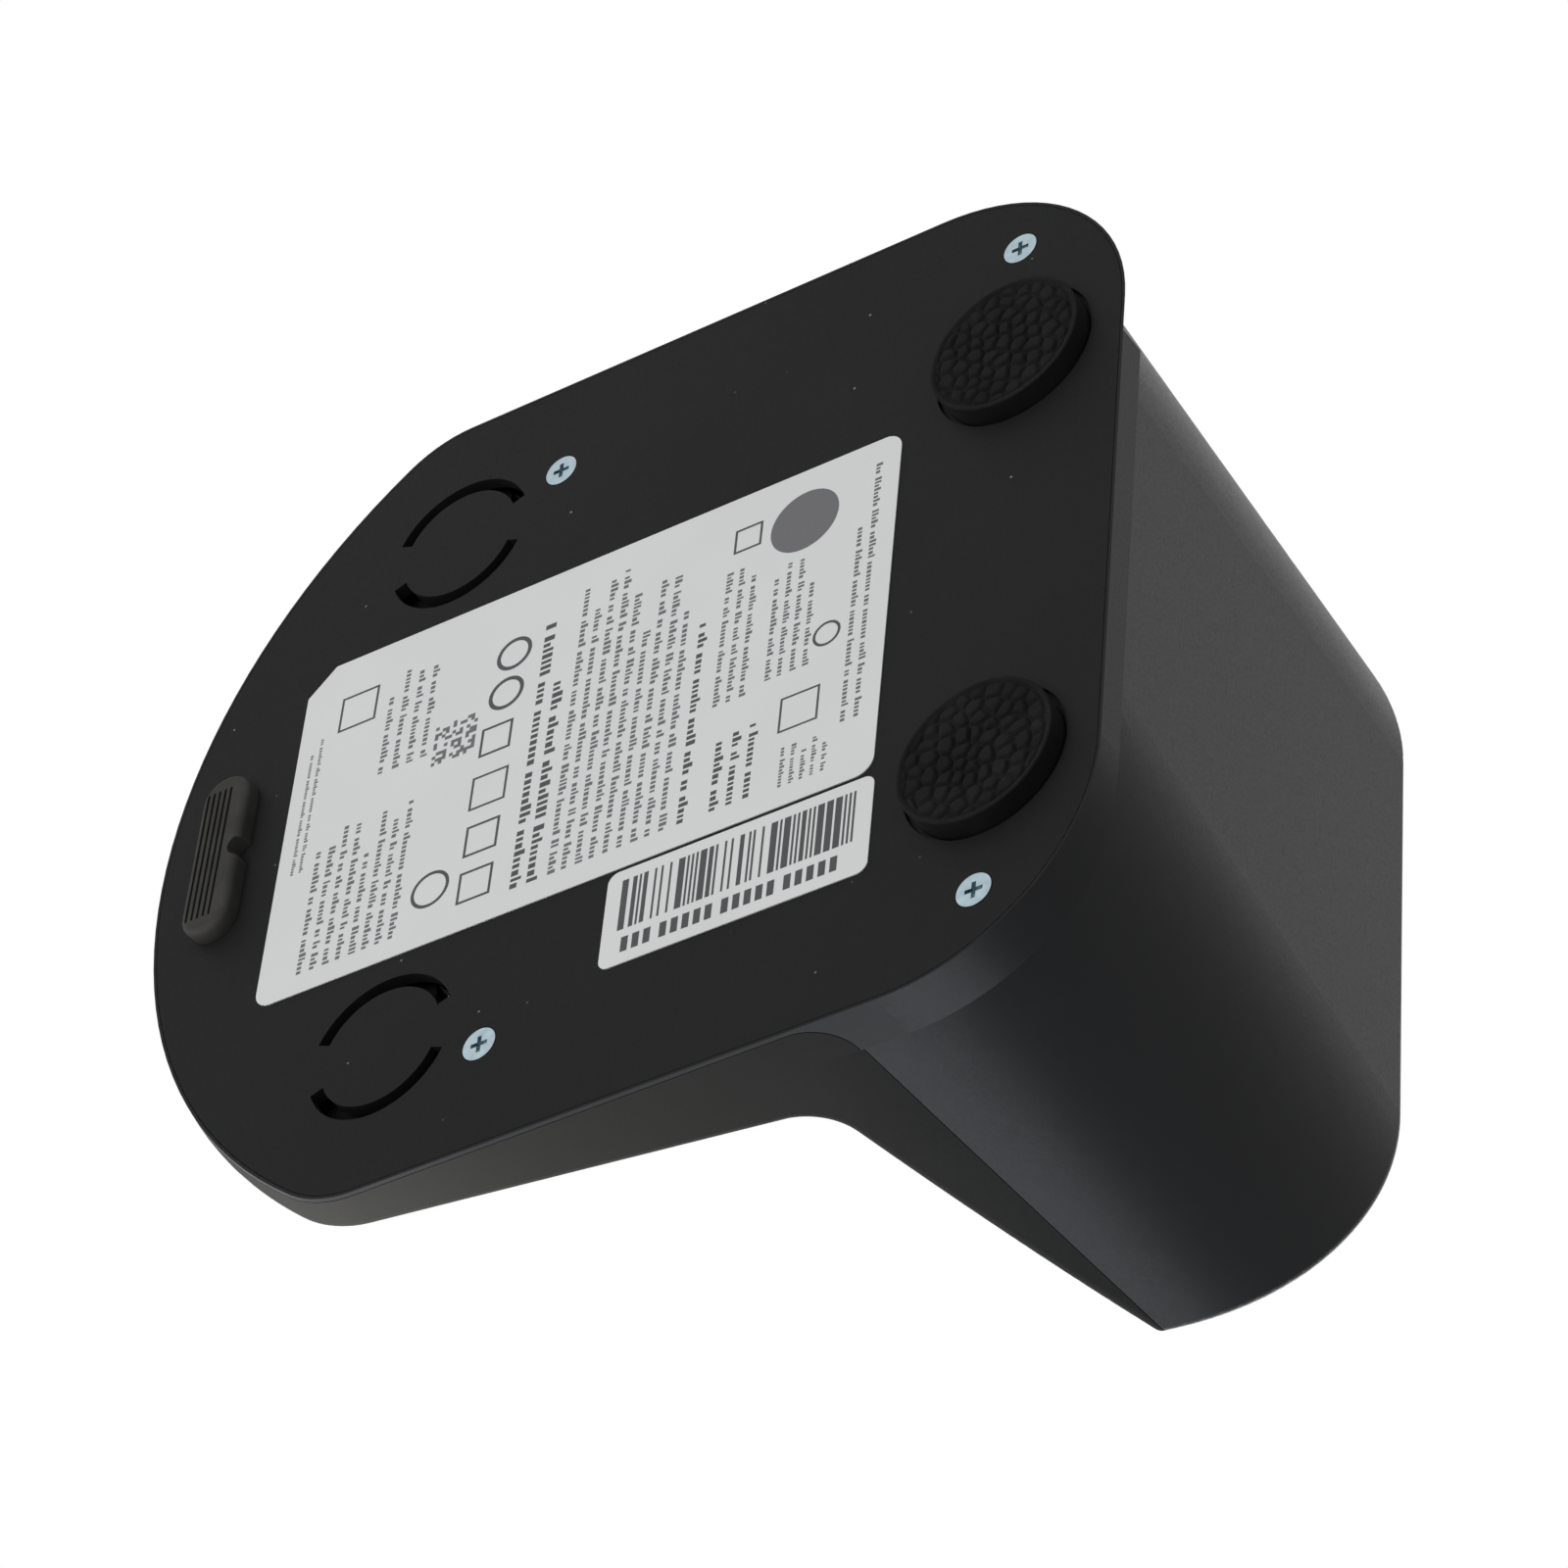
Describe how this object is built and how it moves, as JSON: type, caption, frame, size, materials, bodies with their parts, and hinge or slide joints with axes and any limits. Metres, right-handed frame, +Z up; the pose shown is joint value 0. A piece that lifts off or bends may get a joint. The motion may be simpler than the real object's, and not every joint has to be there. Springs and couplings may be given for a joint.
{
  "type": "robot vacuum charging dock",
  "caption": "Robot vacuum charging dock: bowed ramp with sprung contacts, upright tower with infrared window and mains inlet, screwed bottom cover with rubber feet and labels.",
  "frame": {"origin": "middle of the bounding box at floor level, under the feet", "axes": "+Z up from the floor, +Y from the ramp's front edge to the tower, +X to the side with the mains inlet"},
  "size_m": [0.1282, 0.1415, 0.0856],
  "materials": {
    "housing_shell": "fine satin texture",
    "cover_shell": "fine satin texture",
    "bottom_plate": "fine matte texture",
    "cover_screw_zinc": "blue zinc plated",
    "front_foot_rubber": "matte",
    "rear_foot_rubber": "matte with a pebbled sole",
    "rating_film": "satin film",
    "barcode_film": "satin film",
    "window_dark": "polished, dark, clear to infrared light",
    "light_pipe": "milky",
    "board_green": "solder resist",
    "emitter_clear": "tinted",
    "board_screw_zinc": "zinc plated",
    "transformer_core": "ferrite and tape",
    "capacitor_can": "sleeved can",
    "choke_copper": "enamelled copper wire",
    "fuse_glass": "clear tube with metal caps",
    "sink_aluminium": "extruded",
    "plug_white": "moulded",
    "inlet_black": "moulded",
    "pin_nickel": "nickel plated",
    "mains_insulation": "insulation",
    "lead_insulation": "insulation",
    "spring_bronze": "phosphor bronze leaf",
    "contact_nickel": "nickel plated, polished"
  },
  "bodies": {
    "dock": {"rear_housing": "housing_shell", "front_cover": "cover_shell", "bottom_cover": "bottom_plate", "cover_screws": "cover_screw_zinc", "front_foot": "front_foot_rubber", "rear_foot_left": "rear_foot_rubber", "rear_foot_right": "rear_foot_rubber", "rating_label": "rating_film", "barcode_label": "barcode_film", "ir_window": "window_dark", "status_light": "light_pipe", "ir_board": "board_green", "ir_emitters": "emitter_clear", "ir_board_screws": "board_screw_zinc", "power_board": "board_green", "power_board_screws": "board_screw_zinc", "transformer": "transformer_core", "bulk_capacitor": "capacitor_can", "output_capacitors": "capacitor_can", "line_choke": "choke_copper", "mains_fuse": "fuse_glass", "heat_sink": "sink_aluminium", "output_plug": "plug_white", "mains_inlet": "inlet_black", "inlet_pins": "pin_nickel", "mains_leads": "mains_insulation", "contact_spring_left": "spring_bronze", "contact_spring_right": "spring_bronze", "contact_lead_left": "lead_insulation", "contact_lead_right": "lead_insulation"},
    "contact_left": {"charging_contact_left": "contact_nickel"},
    "contact_right": {"charging_contact_right": "contact_nickel"}
  },
  "joints": [
    {"name": "contact_left_press", "type": "slide", "parent": "dock", "child": "contact_left", "axis": [0, 0, 1], "range_m": [-0.001, 0], "stiffness_N_per_m": 1500, "springref_m": 0.0005, "deforming": ["contact_spring_left"]},
    {"name": "contact_right_press", "type": "slide", "parent": "dock", "child": "contact_right", "axis": [0, 0, 1], "range_m": [-0.001, 0], "stiffness_N_per_m": 1500, "springref_m": 0.0005, "deforming": ["contact_spring_right"]}
  ]
}
